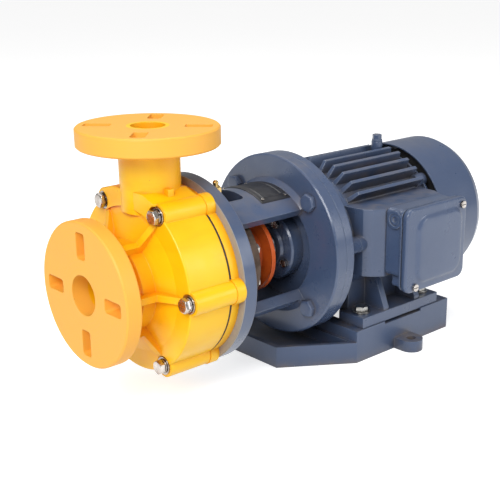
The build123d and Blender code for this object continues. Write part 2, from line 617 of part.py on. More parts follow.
def motor_frame():
    """Finned stator frame with the terminal box neck and two feet cast on."""
    barrel = ring(FRAME_X0, FRAME_X1, FRAME_R, FRAME_BORE_R)
    ears = around(rod(FRAME_X0, FRAME_X0 + 10, 9, 0, SHIELD_BOLT_R), SHIELD_BOLT_ANGLES)
    rear_ears = around(rod(FRAME_X1 - 10, FRAME_X1, 8, 0, REAR_SCREW_R), REAR_SCREW_ANGLES)
    band = ring(FRAME_X0, FRAME_X0 + 8, 75, FRAME_BORE_R)
    lift_boss = upright(LIFT_BOLT_X, 0, 66, 92, 6.5)
    body = fused(barrel, around(fin(), FIN_ANGLES))
    for addition in ears + rear_ears + [band, box_pad(), lift_boss, motor_foot(-1), motor_foot(1)]:
        body = body + addition
    tools = [rod(FRAME_X0 - 5, FRAME_X1 + 5, FRAME_BORE_R)]
    tools += [upright(x, side * FOOT_HOLE_Y, FOOT_Z - 1, FOOT_Z + FOOT_T + 1, 5.0)
              for x in FOOT_HOLES_X for side in (-1, 1)]
    tools.append(upright(LIFT_BOLT_X, 0, 72, 93, 4.0))
    tools += around(rod(FRAME_X0 - 1, FRAME_X0 + 11, 3.3, 0, SHIELD_BOLT_R), SHIELD_BOLT_ANGLES)
    tools += around(rod(FRAME_X0 + 10, FRAME_X0 + 18, 8.0, 0, SHIELD_BOLT_R), SHIELD_BOLT_ANGLES)
    tools += around(rod(FRAME_X1 - 11, FRAME_X1 + 1, 2.5, 0, REAR_SCREW_R), REAR_SCREW_ANGLES)
    tools.append(block(330, 384, BOX_BACK_Y - 1, -50, -18, 26))
    for tool in tools:
        body = body - tool
    return body


def shield_bolts():
    """Four hexagon bolts that hold the front end shield to the frame."""
    x = FRAME_X0 + 10
    head = Pos(x, 0, 0) * Rot(0, 180, 0) * hex_rod(-5, 0, 11)
    bolt = head + rod(MOTOR_FACE_X + MOTOR_FLANGE_T + 4, x, 3.2)
    return group(around(Pos(0, 0, SHIELD_BOLT_R) * bolt, SHIELD_BOLT_ANGLES))


def stator_core():
    """Laminated stator core pressed into the frame."""
    return ring(305, 395, FRAME_BORE_R, 45.0)


def windings():
    """End turns of the winding at both ends of the core."""
    front = turned((290, 48), (290, 57), (293, 59), (305, 59), (305, 46), (293, 46))
    rear = turned((410, 48), (410, 57), (407, 59), (395, 59), (395, 46), (407, 46))
    return group([front, rear])


def rear_end_shield():
    """Rear end shield with its bearing housing."""
    x0 = FRAME_X1
    body = turned((x0, FRAME_BORE_R - 4), (x0, 76), (x0 + 3, 76), (x0 + 8, 60), (x0 + 14, 40), (x0 + 16, 32),
                  (x0 + 16, 14), (REAR_BEARING_X + BEARING_W, 14), (REAR_BEARING_X + BEARING_W, BEARING_R),
                  (REAR_BEARING_X, BEARING_R), (REAR_BEARING_X, 32), (x0 + 4, 34), (x0 + 4, 50))
    body = fused(body, around(rod(x0, x0 + 6, 8, 0, REAR_SCREW_R), REAR_SCREW_ANGLES))
    body = fused(body, around(cowl_lug(), COWL_LUG_ANGLES))
    tools = around(rod(x0 - 1, x0 + 8, 2.7, 0, REAR_SCREW_R), REAR_SCREW_ANGLES)
    tools += around(upright(COWL_SCREW_X, 0, 70, 90, 2.1), COWL_LUG_ANGLES)
    tools += around(rod(x0 + 6, x0 + 12, 5.5, 0, REAR_SCREW_R), REAR_SCREW_ANGLES)
    return cut(body, tools)


def rear_shield_screws():
    """Four screws of the rear end shield."""
    x = FRAME_X1 + 6
    head = Pos(x, 0, 0) * Rot(0, 180, 0) * hex_rod(-3.5, 0, 8)
    screw = head + rod(x - 14, x, 2.5)
    return group(around(Pos(0, 0, REAR_SCREW_R) * screw, REAR_SCREW_ANGLES))


def fan_cowl():
    """Pressed sheet cowl with a domed rear and rings of air slots."""
    t = COWL_T
    body = turned((COWL_X0, COWL_R - t), (COWL_X0, COWL_R), (COWL_X1 - 18, COWL_R), (COWL_X1 - 9, COWL_R - 4),
                  (COWL_X1 - 3, COWL_R - 12), (COWL_X1, COWL_R - 24), (COWL_X1, 0), (COWL_X1 - t, 0),
                  (COWL_X1 - t, COWL_R - 24.5), (COWL_X1 - 4.4, COWL_R - 12.6), (COWL_X1 - 10, COWL_R - 5.6),
                  (COWL_X1 - 18.2, COWL_R - t))
    slots = []
    for r in (14, 24, 34, 44, 54):
        band = ring(COWL_X1 - 8, COWL_X1 + 2, r + 2.6, r - 2.6)
        spokes = [Rot(30 + 60 * k, 0, 0) * block(COWL_X1 - 9, COWL_X1 + 3, -3, 3, 0, 80) for k in range(6)]
        slots.append(cut(band, spokes))
    body = cut(body, slots)
    return cut(body, around(upright(COWL_SCREW_X, 0, COWL_R - 6, COWL_R + 2, 2.1), COWL_LUG_ANGLES))


def cowl_lug():
    """One lug on the rear end shield that carries the cowl."""
    lug = block(FRAME_X1 + 6, FRAME_X1 + 18, -5, 5, 62, COWL_R - COWL_T - 0.2)
    foot = block(FRAME_X1 + 3, FRAME_X1 + 18, -5, 5, 58, 66)
    return lug + foot


def cowl_screws():
    """Four pan-head screws that hold the cowl."""
    x = COWL_SCREW_X
    screw = upright(x, 0, COWL_R, COWL_R + 2.2, 3.6) + upright(x, 0, COWL_R - 8, COWL_R, 2.0)
    slot = block(x - 4, x + 4, -0.5, 0.5, COWL_R + 1.2, COWL_R + 3)
    return group(around(screw - slot, COWL_LUG_ANGLES))


# Terminal box

def rounded_slab(y, x0, x1, z0, z1, r):
    """A rounded rectangle in an upright plane that faces the near side."""
    plane = Plane(origin=((x0 + x1) / 2, y, (z0 + z1) / 2), x_dir=(1, 0, 0), z_dir=(0, -1, 0))
    return plane * RectangleRounded(x1 - x0, z1 - z0, r)


def terminal_box():
    """Open terminal box body with the rim that meets the lid and the blank cable entry boss."""
    x0, x1, z0, z1 = BOX_X0 + 2.5, BOX_X1 - 3, BOX_Z0 + 14, BOX_Z1 - 2
    body = extrude(rounded_slab(BOX_BACK_Y, x0, x1, z0, z1, 7), BOX_BACK_Y - BOX_Y, dir=(0, -1, 0))
    rim = extrude(rounded_slab(BOX_Y + BOX_RIM_T, BOX_X0, BOX_X1, BOX_Z0, BOX_Z1, 9), BOX_RIM_T, dir=(0, -1, 0))
    body = fused(body, [rim, rod(BOX_X0, x0 + 6, ENTRY_R, ENTRY_Y, ENTRY_Z)])
    w = BOX_WALL
    room = extrude(rounded_slab(BOX_BACK_Y - 3, x0 + w, x1 - w, z0 + w, z1 - w, 4), 24, dir=(0, -1, 0))
    body = body - room
    for x, z in LID_SCREWS:
        toward = 8 if z < 0 else -8
        rib_z0, rib_z1 = sorted((z, z + toward))
        body = body + Pos(x, BOX_Y + 10, z) * Rot(90, 0, 0) * Cylinder(4.4, 20)
        body = body + block(x - 4, x + 4, BOX_Y, BOX_Y + 20, rib_z0, rib_z1)
    tools = [Pos(x, BOX_Y + 6, z) * Rot(90, 0, 0) * Cylinder(2.0, 14) for x, z in LID_SCREWS]
    tools.append(Pos(357, BOX_BACK_Y, 4) * Rot(90, 0, 0) * Cylinder(14, 12))
    tools.append(rod(BOX_X0 - 1, x0 + w + 4, ENTRY_PLUG_R, ENTRY_Y, ENTRY_Z))
    return cut(body, tools)


def entry_plug():
    """Blanking plug screwed into the cable entry, painted over."""
    plug = rod(BOX_X0 + 0.6, BOX_X0 + 2.5 + BOX_WALL + 2, ENTRY_PLUG_R, ENTRY_Y, ENTRY_Z)
    return plug - rod(BOX_X0, BOX_X0 + 2, 3.0, ENTRY_Y, ENTRY_Z)


def lid_gasket():
    """Rubber gasket between box and lid."""
    outer = rounded_slab(BOX_Y - 1.5, BOX_X0 + 1, BOX_X1 - 1, BOX_Z0 + 1, BOX_Z1 - 1, 8)
    sheet = extrude(outer, 1.5, dir=(0, 1, 0))
    opening = rounded_slab(BOX_Y - 3, BOX_X0 + 15, BOX_X1 - 15, BOX_Z0 + 15, BOX_Z1 - 15, 6)
    window = extrude(opening, 6, dir=(0, 1, 0))
    holes = [Pos(x, BOX_Y, z) * Rot(90, 0, 0) * Cylinder(2.4, 8) for x, z in LID_SCREWS]
    return cut(sheet, [window] + holes)


def terminal_lid():
    """Cast lid with a raised, rounded panel."""
    y = BOX_Y - 1.5
    slab = extrude(rounded_slab(y, BOX_X0 - 1, BOX_X1 + 1, BOX_Z0 - 1, BOX_Z1 + 1, 10), LID_T, dir=(0, -1, 0))
    slab = chamfer(slab.edges().group_by(Axis.Y)[0], 1.5)
    panel_face = rounded_slab(y - LID_T, BOX_X0 + 13.5, BOX_X1 - 6, BOX_Z0 + 6, BOX_Z1 - 8, 17)
    panel = extrude(panel_face, PANEL_T, dir=(0, -1, 0), taper=45)
    pocket_face = rounded_slab(y + 0.01, BOX_X0 + 16, BOX_X1 - 16, BOX_Z0 + 16, BOX_Z1 - 16, 6)
    pocket = extrude(pocket_face, 4, dir=(0, -1, 0))
    holes = [Pos(x, y - 5, z) * Rot(90, 0, 0) * Cylinder(2.4, 14) for x, z in LID_SCREWS]
    return cut(slab + panel, [pocket] + holes)


def lid_screws():
    """Two lid screws with slotted heads, on one diagonal."""
    screws = []
    y = BOX_Y - 1.5 - LID_T
    for x, z in LID_SCREWS:
        head = Pos(x, y - 1.3, z) * Rot(90, 0, 0) * Cylinder(4.0, 2.6)
        shank = Pos(x, y + 9, z) * Rot(90, 0, 0) * Cylinder(2.0, 18)
        slot = Pos(x, y - 2.4, z) * Box(9, 1.2, 1)
        screws.append(head + shank - slot)
    return group(screws)


def terminal_block():
    """Insulating terminal block with six studs inside the box."""
    back = BOX_BACK_Y - 3
    block_body = block(334, 380, back - 10, back, -16, 24)
    studs = [Pos(x, back - 11, z) * Rot(90, 0, 0) * Cylinder(2.0, 8) for x in (343, 357, 371) for z in (-6, 14)]
    return fused(block_body, studs)


# Fasteners of the motor and base

def flange_bolts():
    """Four bolts that join the lantern to the motor flange."""
    bolt = hex_rod(LANTERN_REAR_X - M10_HEAD, LANTERN_REAR_X, M10_FLATS + 1, 0, FLANGE_BOLT_R)
    bolt = bolt + rod(LANTERN_REAR_X, MOTOR_FACE_X + MOTOR_FLANGE_T + 11, M10_R, 0, FLANGE_BOLT_R)
    return group(around(bolt, FLANGE_BOLT_ANGLES))


def flange_nuts():
    """Nuts behind the motor flange."""
    x0 = MOTOR_FACE_X + MOTOR_FLANGE_T
    nut = Pos(x0, 0, 0) * Rot(0, 180, 0) * hex_rod(-8, 0, M10_FLATS)
    return group(around(Pos(0, 0, FLANGE_BOLT_R) * (nut - rod(x0 - 1, x0 + 9, M10_R)), FLANGE_BOLT_ANGLES))


def lifting_bolt():
    """Hexagon bolt in the lifting boss on top of the frame."""
    shank = upright(LIFT_BOLT_X, 0, 74, 92, 4.0)
    head = Pos(LIFT_BOLT_X, 0, 94) * extrude(RegularPolygon(5.6, 6), 6)
    collar = upright(LIFT_BOLT_X, 0, 92, 94, 6.2)
    return shank + head + collar


def foot_bolts():
    """Four bolts that hold the motor feet to the base plate."""
    bolts = []
    z = FOOT_Z + FOOT_T + 2
    for x in FOOT_HOLES_X:
        for side in (-1, 1):
            head = Pos(x, side * FOOT_HOLE_Y, z) * extrude(RegularPolygon(13.0 / 2 / cos(radians(30)), 6), 5.5)
            bolts.append(head + upright(x, side * FOOT_HOLE_Y, FOOT_Z - 9, z, 4.0))
    return group(bolts)


def foot_washers():
    """Flat washers under the foot bolts."""
    z = FOOT_Z + FOOT_T
    washer = upright(0, 0, z, z + 2, 10) - upright(0, 0, z - 1, z + 3, 4.2)
    return group([Pos(x, side * FOOT_HOLE_Y, 0) * washer for x in FOOT_HOLES_X for side in (-1, 1)])


def base_outline(inset):
    """Plan of the base: a long rectangle whose front tapers to a narrow nose."""
    n = BASE_NOSE_HALF_W - inset * 0.5
    w = BASE_HALF_W - inset
    pts = [(BASE_FRONT_X + inset, -n), (BASE_STEP_X, -w), (BASE_REAR_X - inset, -w), (BASE_REAR_X - inset, w),
           (BASE_STEP_X, w), (BASE_FRONT_X + inset, n)]
    return make_face(Polyline(*[(x, y, BASE_Z0) for x, y in pts], close=True))


def base_plate():
    """Cast base: hollow block under the motor, low tray at the front, two bolting lugs."""
    height = FOOT_Z - BASE_Z0
    body = extrude(base_outline(0), height, dir=(0, 0, 1))
    body = body - block(BASE_FRONT_X - 1, BASE_STEP_X, -100, 100, BASE_Z0 + TRAY_H, FOOT_Z + 1)
    tray = extrude(base_outline(TRAY_RIM_T), height, dir=(0, 0, 1))
    tray = tray & block(BASE_FRONT_X, BASE_STEP_X - 4, -100, 100, BASE_Z0 + TRAY_H - TRAY_DEPTH, FOOT_Z)
    hollow = extrude(base_outline(9), height - 10, dir=(0, 0, 1)) & block(BASE_STEP_X + 6, BASE_REAR_X, -100, 100,
                                                                             BASE_Z0 - 1, FOOT_Z)
    front_hollow = extrude(base_outline(TRAY_RIM_T), TRAY_H - TRAY_DEPTH - TRAY_FLOOR_T, dir=(0, 0, 1))
    front_hollow = front_hollow & block(BASE_FRONT_X, BASE_STEP_X - 4, -100, 100, BASE_Z0 - 1, FOOT_Z)
    relief = block(330, 392, -100, 100, FOOT_Z - 3, FOOT_Z + 1)
    well = block(300, 420, -48, 48, FOOT_Z - 12, FOOT_Z + 1)
    body = cut(body, [tray, hollow, front_hollow, relief, well])
    for side in (-1, 1):
        y0, y1 = sorted((side * (BASE_HALF_W - 2), side * LUG_Y))
        lug = block(LUG_LINE_X - LUG_R, LUG_LINE_X + LUG_R, y0, y1, BASE_Z0, BASE_Z0 + LUG_T)
        lug = lug + upright(LUG_LINE_X, side * LUG_Y, BASE_Z0, BASE_Z0 + LUG_T, LUG_R)
        body = body + lug
    for side in (-1, 1):
        body = body - upright(LUG_LINE_X, side * LUG_Y, BASE_Z0 - 1, BASE_Z0 + LUG_T + 1, LUG_HOLE_R)
        for x in FOOT_HOLES_X:
            body = body - upright(x, side * FOOT_HOLE_Y, FOOT_Z - 11, FOOT_Z + 1, 4.0)
    return body


PIECES = {
    "pump_casing": pump_casing,
    "back_cover": back_cover,
    "casing_gasket": casing_gasket,
    "casing_bolts": casing_bolts,
    "casing_spring_washers": casing_spring_washers,
    "casing_flat_washers": casing_washers,
    "bracket": bracket,
    "flush_nipple": flush_nipple,
    "name_plate": name_plate,
    "name_plate_rivets": name_plate_rivets,
    "seal_gland": seal_gland,
    "gland_bolts": gland_bolts,
    "seal_seat": seal_seat,
    "seal_seat_rubber": seal_seat_holder,
    "seal_rotating_ring": seal_rotating_ring,
    "seal_spring": seal_spring,
    "seal_drive_collar": seal_collar,
    "impeller": impeller,
    "impeller_nut": impeller_nut,
    "pump_shaft": pump_shaft,
    "clamp_set_screws": set_screws,
    "shaft_key": shaft_key,
    "slinger_disc": slinger_disc,
    "motor_shaft": motor_shaft,
    "rotor_core": rotor_core,
    "cooling_fan": cooling_fan,
    "front_bearing_inner_ring": lambda: bearing_inner(FRONT_BEARING_X),
    "front_bearing_outer_ring": lambda: bearing_outer(FRONT_BEARING_X),
    "rear_bearing_inner_ring": lambda: bearing_inner(REAR_BEARING_X),
    "rear_bearing_outer_ring": lambda: bearing_outer(REAR_BEARING_X),
    "front_end_shield": front_end_shield,
    "bearing_cap": bearing_cap,
    "bearing_cap_screws": bearing_cap_screws,
    "end_shield_bolts": shield_bolts,
    "motor_frame": motor_frame,
    "stator_core": stator_core,
    "stator_windings": windings,
    "rear_end_shield": rear_end_shield,
    "rear_shield_screws": rear_shield_screws,
    "fan_cowl": fan_cowl,
    "cowl_screws": cowl_screws,
    "terminal_box": terminal_box,
    "entry_plug": entry_plug,
    "lid_gasket": lid_gasket,
    "terminal_lid": terminal_lid,
    "lid_screws": lid_screws,
    "terminal_block": terminal_block,
    "flange_bolts": flange_bolts,
    "flange_nuts": flange_nuts,
    "lifting_bolt": lifting_bolt,
    "foot_bolts": foot_bolts,
    "foot_washers": foot_washers,
    "base_plate": base_plate,
}


def put_down(shape):
    """Moves a piece from the shaft line to the mounting plane and the lug holes."""
    return Pos(-LUG_LINE_X, 0, SHAFT_HEIGHT) * shape


os.makedirs("parts", exist_ok=True)
for name, make in PIECES.items():
    export_step(put_down(make()), f"parts/{name}.step")
    print(name)
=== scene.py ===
# %% [markdown]
# # A close-coupled centrifugal pump, dressed for the camera
#
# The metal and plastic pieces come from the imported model, at their real size and in their real place.
# This lesson gives them the finish of the real machine and adds the small shapes that a solid model
# leaves out: eased bolt heads, spring washers, a rolled plate, soft moulded edges.
# Lengths are metres. X runs along the shaft towards the fan, Z is up, the terminal box is on the -Y side.

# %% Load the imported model
import math
import bpy
import numpy as np
from mathutils import Matrix, Vector


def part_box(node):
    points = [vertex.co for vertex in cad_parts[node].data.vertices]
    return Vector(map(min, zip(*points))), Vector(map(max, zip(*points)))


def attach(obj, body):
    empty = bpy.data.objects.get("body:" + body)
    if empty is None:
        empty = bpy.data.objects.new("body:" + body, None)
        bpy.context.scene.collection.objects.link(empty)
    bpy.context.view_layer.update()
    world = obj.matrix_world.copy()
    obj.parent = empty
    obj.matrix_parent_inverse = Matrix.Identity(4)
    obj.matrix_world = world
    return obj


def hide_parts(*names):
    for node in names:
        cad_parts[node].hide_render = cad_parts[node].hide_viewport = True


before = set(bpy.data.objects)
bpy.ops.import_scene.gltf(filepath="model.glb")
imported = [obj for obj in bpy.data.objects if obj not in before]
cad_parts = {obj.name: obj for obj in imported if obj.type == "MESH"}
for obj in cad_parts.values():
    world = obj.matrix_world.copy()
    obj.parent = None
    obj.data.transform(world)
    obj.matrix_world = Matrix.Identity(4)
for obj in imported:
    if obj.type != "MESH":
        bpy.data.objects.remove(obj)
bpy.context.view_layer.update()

SHAFT_Z = 0.127
SUCTION_FACE_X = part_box("pump_casing")[0].x
DISCHARGE_FACE_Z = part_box("pump_casing")[1].z
DISCHARGE_X = SUCTION_FACE_X + 0.08165

# %% [markdown]
# ## The camera
#
# The view was found by fitting a pinhole camera to the round flanges, whose ellipses give the turn and the
# tilt of the view. Three angles and a place are all that it needs. Blender wants the same thing as a
# rotation matrix whose columns are the camera's right, its up and its back. The lens shift stands in for
# the crop of the original picture.

# %% Camera
VIEW_TURN = math.radians(-44.44)
VIEW_TILT = math.radians(18.32)
VIEW_ROLL = math.radians(0.35)
CAMERA_PLACE = Vector((-0.8296, -0.7799, 0.4515))
FOCAL_PIXELS = 1005.5
FRAME_PIXELS = 500
LENS_CENTRE = (308.4, 265.5)

back = Vector((math.sin(VIEW_TURN) * math.cos(VIEW_TILT), -math.cos(VIEW_TURN) * math.cos(VIEW_TILT),
               math.sin(VIEW_TILT)))
level = Vector((0, 0, 1)).cross(back).normalized()
upward = back.cross(level)
right = math.cos(VIEW_ROLL) * level + math.sin(VIEW_ROLL) * upward
upward = math.cos(VIEW_ROLL) * upward - math.sin(VIEW_ROLL) * level

camera_data = bpy.data.cameras.new("camera")
camera_data.sensor_width = 36.0
camera_data.lens = camera_data.sensor_width * FOCAL_PIXELS / FRAME_PIXELS
camera_data.shift_x = 0.5 - LENS_CENTRE[0] / FRAME_PIXELS
camera_data.shift_y = LENS_CENTRE[1] / FRAME_PIXELS - 0.5
camera_data.clip_start = 0.01
camera = bpy.data.objects.new("camera", camera_data)
turn = Matrix((right, upward, back)).transposed().to_4x4()
camera.matrix_world = Matrix.Translation(CAMERA_PLACE) @ turn
bpy.context.scene.collection.objects.link(camera)
bpy.context.scene.camera = camera
print("lens", round(camera_data.lens, 2), "shift", round(camera_data.shift_x, 4), round(camera_data.shift_y, 4))

# %% [markdown]
# ## Writing a finish as a recipe
#
# A procedural finish is a small network of nodes. Writing each node by hand hides the idea, so this class
# gives the common steps short names: noise, ramp, mix, bump. Every pattern reads Object coordinates, so it
# stays on the piece when the piece turns.

# %% The recipe helper
class Finish:
    """One material and short names for the nodes that build it."""

    def __init__(self, name, roughness=0.5, metallic=0.0, coat=0.0, specular=0.5):
        self.material = bpy.data.materials.new(name)
        self.material.use_nodes = True
        self.tree = self.material.node_tree
        self.shader = self.tree.nodes["Principled BSDF"]
        self.shader.inputs["Roughness"].default_value = roughness
        self.shader.inputs["Metallic"].default_value = metallic
        self.shader.inputs["Coat Weight"].default_value = coat
        self.shader.inputs["Coat Roughness"].default_value = 0.12
        self.shader.inputs["Specular IOR Level"].default_value = specular
        self.place = self.tree.nodes.new("ShaderNodeTexCoord").outputs["Object"]

    def feed(self, socket, value):
        """Links a value that is a socket, or sets a plain number or colour."""
        if isinstance(value, bpy.types.NodeSocket):
            self.tree.links.new(value, socket)
        elif isinstance(value, (tuple, list)) and len(value) == 3 and len(socket.default_value) == 4:
            socket.default_value = (*value, 1.0)
        else:
            socket.default_value = value

    def noise(self, scale, detail=3.0, stretch=(1, 1, 1), roughness=0.55, centre=(0, 0, 0)):
        """Cloudy noise from 0 to 1, finer along the axes that are stretched most."""
        mapping = self.tree.nodes.new("ShaderNodeMapping")
        mapping.inputs["Location"].default_value = centre
        mapping.inputs["Scale"].default_value = stretch
        self.feed(mapping.inputs["Vector"], self.place)
        made = self.tree.nodes.new("ShaderNodeTexNoise")
        made.inputs["Scale"].default_value = scale
        made.inputs["Detail"].default_value = detail
        made.inputs["Roughness"].default_value = roughness
        self.feed(made.inputs["Vector"], mapping.outputs["Vector"])
        return made.outputs["Fac"]

    def specks(self, scale, size, randomness=1.0):
        """Small round spots: 1 inside a spot, 0 outside. Only some cells hold one."""
        made = self.tree.nodes.new("ShaderNodeTexVoronoi")
        made.inputs["Scale"].default_value = scale
        made.inputs["Randomness"].default_value = randomness
        self.feed(made.inputs["Vector"], self.place)
        near = self.ramp(made.outputs["Distance"], [(size * 0.6, 1.0), (size, 0.0)])
        split = self.tree.nodes.new("ShaderNodeSeparateColor")
        self.feed(split.inputs[0], made.outputs["Color"])
        chosen = self.ramp(split.outputs[0], [(0.78, 0.0), (0.80, 1.0)])
        return self.sum("MULTIPLY", near, chosen)

    def ramp(self, value, stops):
        """Turns a value into grey levels through a few (place, level) stops."""
        made = self.tree.nodes.new("ShaderNodeValToRGB")
        points = made.color_ramp.elements
        while len(points) < len(stops):
            points.new(0.5)
        for point, (place, level_or_colour) in zip(points, stops):
            point.position = place
            grey = isinstance(level_or_colour, (int, float))
            point.color = (*(level_or_colour,) * 3, 1.0) if grey else (*level_or_colour, 1.0)
        self.feed(made.inputs["Fac"], value)
        return made.outputs["Color"]

    def sum(self, operation, first, second=0.0, third=0.0):
        """One step of arithmetic, clamped to 0 and 1."""
        made = self.tree.nodes.new("ShaderNodeMath")
        made.operation = operation
        made.use_clamp = True
        for socket, value in zip(made.inputs, (first, second, third)):
            self.feed(socket, value)
        return made.outputs[0]

    def mix(self, amount, first, second, blend="MIX"):
        """Colour that goes from the first to the second as the amount goes from 0 to 1."""
        made = self.tree.nodes.new("ShaderNodeMix")
        made.data_type = "RGBA"
        made.blend_type = blend
        self.feed(made.inputs[0], amount)
        self.feed(made.inputs[6], first)
        self.feed(made.inputs[7], second)
        return made.outputs[2]

    def axis(self, name):
        """The X, Y or Z of the point, in metres."""
        split = self.tree.nodes.new("ShaderNodeSeparateXYZ")
        self.feed(split.inputs[0], self.place)
        return split.outputs[name]

    def between(self, value, low, high, soft):
        """1 where the value lies between low and high, with soft edges."""
        made = self.tree.nodes.new("ShaderNodeMapRange")
        made.interpolation_type = "SMOOTHSTEP"
        self.feed(made.inputs["Value"], value)
        made.inputs["From Min"].default_value = low - soft
        made.inputs["From Max"].default_value = low + soft
        other = self.tree.nodes.new("ShaderNodeMapRange")
        other.interpolation_type = "SMOOTHSTEP"
        self.feed(other.inputs["Value"], value)
        other.inputs["From Min"].default_value = high - soft
        other.inputs["From Max"].default_value = high + soft
        other.inputs["To Min"].default_value = 1.0
        other.inputs["To Max"].default_value = 0.0
        return self.sum("MULTIPLY", made.outputs["Result"], other.outputs["Result"])

    def facing(self, axis):
        """How far the surface faces an axis: 1 straight towards it, 0 away from it."""
        geometry = self.tree.nodes.new("ShaderNodeNewGeometry")
        split = self.tree.nodes.new("ShaderNodeSeparateXYZ")
        self.feed(split.inputs[0], geometry.outputs["True Normal"])
        return self.sum("ADD", split.outputs[axis], 0.0)

    def crevice(self, reach, samples=6):
        """1 deep in a corner, 0 on an open face."""
        made = self.tree.nodes.new("ShaderNodeAmbientOcclusion")
        made.samples = samples
        made.inputs["Distance"].default_value = reach
        return self.sum("SUBTRACT", 1.0, made.outputs["AO"])

    def bump(self, height, strength, depth):
        """Adds fine relief to the surface, one layer on the next."""
        made = self.tree.nodes.new("ShaderNodeBump")
        made.inputs["Strength"].default_value = strength
        made.inputs["Distance"].default_value = depth
        self.feed(made.inputs["Height"], height)
        below = self.shader.inputs["Normal"]
        if below.links:
            self.tree.links.new(below.links[0].from_socket, made.inputs["Normal"])
        self.tree.links.new(made.outputs["Normal"], below)

    def ease(self, radius):
        """Rounds every sharp edge by that radius in the shading, as a mould or a casting does."""
        made = self.tree.nodes.new("ShaderNodeBevel")
        made.samples = 6
        made.inputs["Radius"].default_value = radius
        self.tree.links.new(made.outputs["Normal"], self.shader.inputs["Normal"])
        return made.outputs["Normal"]

    def edges(self, eased):
        """1 along a sharp edge, 0 on open faces, from how far the eased normal leans away."""
        geometry = self.tree.nodes.new("ShaderNodeNewGeometry")
        made = self.tree.nodes.new("ShaderNodeVectorMath")
        made.operation = "DOT_PRODUCT"
        self.feed(made.inputs[0], eased)
        self.feed(made.inputs[1], geometry.outputs["Normal"])
        return self.ramp(self.sum("SUBTRACT", 1.0, made.outputs["Value"]), [(0.02, 0.0), (0.22, 1.0)])

    def done(self, colour, roughness=None):
        """Connects the colour and, when it varies, the roughness."""
        self.feed(self.shader.inputs["Base Color"], colour)
        if roughness is not None:
            self.feed(self.shader.inputs["Roughness"], roughness)
        return self.material

    def radius(self, centre, keep):
        """Distance from a line through the centre; keep is 0 along the line's own axis and 1 across it."""
        away = self.tree.nodes.new("ShaderNodeVectorMath")
        away.operation = "SUBTRACT"
        self.feed(away.inputs[0], self.place)
        away.inputs[1].default_value = centre
        flat = self.tree.nodes.new("ShaderNodeVectorMath")
        flat.operation = "MULTIPLY"
        self.feed(flat.inputs[0], away.outputs[0])
        flat.inputs[1].default_value = keep
        made = self.tree.nodes.new("ShaderNodeVectorMath")
        made.operation = "LENGTH"
        self.feed(made.inputs[0], flat.outputs[0])
        return made.outputs["Value"]

    def tool_marks(self, value, scale):
        """Fine uneven lines where a tool has passed, each one at a constant value."""
        line = self.tree.nodes.new("ShaderNodeCombineXYZ")
        self.feed(line.inputs[0], value)
        made = self.tree.nodes.new("ShaderNodeTexNoise")
        made.inputs["Scale"].default_value = scale
        made.inputs["Detail"].default_value = 3.0
        self.feed(made.inputs["Vector"], line.outputs[0])
        return made.outputs["Fac"]


# %% [markdown]
# ## Moulded yellow plastic
#
# The pump end is one moulding of a filled plastic. Its skin is a warm golden yellow. In corners the colour
# is painted a darker orange: painted shade and painted bounce light from the yellow walls. Both flanges were
# skimmed on a lathe, so their faces and rims are duller and carry fine rings. Corners are eased in the
# shading by a bevel, because a mould has no sharp edge.

# %% Moulded yellow
FLANGE_T = 0.017
SHOULDER = 0.0012


def moulded_yellow(name, flanges):
    """Golden plastic; with flanges, the two skimmed flanges get a duller, ringed skin."""
    f = Finish(name, roughness=0.36, specular=0.5)
    f.ease(SHOULDER)
    cloud = f.ramp(f.noise(11, 3), [(0.35, 0.0), (0.68, 1.0)])
    colour = f.mix(cloud, (0.98, 0.53, 0.002), (1.0, 0.63, 0.003))
    flow = f.ramp(f.noise(26, 4, stretch=(0.6, 1, 3)), [(0.50, 0.0), (0.72, 0.35)])
    colour = f.mix(flow, colour, (0.96, 0.44, 0.003))
    # painted shade: the colour is painted a darker orange deep in corners, standing in for light bouncing between
    # yellow walls
    deep = f.sum("MULTIPLY", f.ramp(f.crevice(0.035), [(0.12, 0.0), (0.80, 1.0)]), 0.85)
    colour = f.mix(deep, colour, (0.84, 0.225, 0.001))
    rough = f.ramp(f.noise(70, 3), [(0.3, 0.30), (0.7, 0.44)])
    if flanges:
        level = f.radius((0, 0, SHAFT_Z), (0, 1, 1))
        upright = f.radius((DISCHARGE_X, 0, 0), (1, 1, 0))
        front = f.between(f.axis("X"), SUCTION_FACE_X - 0.01, SUCTION_FACE_X + FLANGE_T + 0.0004, 0.0002)
        top = f.between(f.axis("Z"), DISCHARGE_FACE_Z - 0.0192, DISCHARGE_FACE_Z + 0.01, 0.0002)
        skim = f.mix(f.noise(40, 4), (0.91, 0.42, 0.075), (0.96, 0.47, 0.055))
        rings = f.mix(front, f.tool_marks(upright, 900), f.tool_marks(level, 900))
        turns = f.mix(front, f.tool_marks(f.axis("Z"), 1300), f.tool_marks(f.axis("X"), 1300))
        side = f.mix(front, f.between(upright, 0.0683, 0.08, 0.0003), f.between(level, 0.0710, 0.08, 0.0003))
        lines = f.mix(side, rings, turns)
        both = f.sum("MAXIMUM", front, top)
        worked = f.mix(f.ramp(lines, [(0.35, 0.0), (0.7, 1.0)]), skim, (0.93, 0.47, 0.045))
        outer = f.sum("MAXIMUM", f.between(level, 0.0235, 0.09, 0.0004), f.between(upright, 0.0205, 0.09, 0.0004))
        colour = f.mix(f.sum("MULTIPLY", both, outer), colour, worked)
        rough = f.mix(both, rough, f.ramp(lines, [(0.3, 0.42), (0.7, 0.56)]))
        f.bump(f.sum("MULTIPLY", both, lines), 0.35, 0.00012)
    spots = f.specks(95, 0.07)
    colour = f.mix(f.sum("MULTIPLY", spots, 0.35), colour, (0.40, 0.16, 0.02))
    f.bump(f.noise(420, 3), 0.12, 0.00010)
    f.bump(f.noise(55, 3), 0.10, 0.0006)
    return f.done(colour, rough)


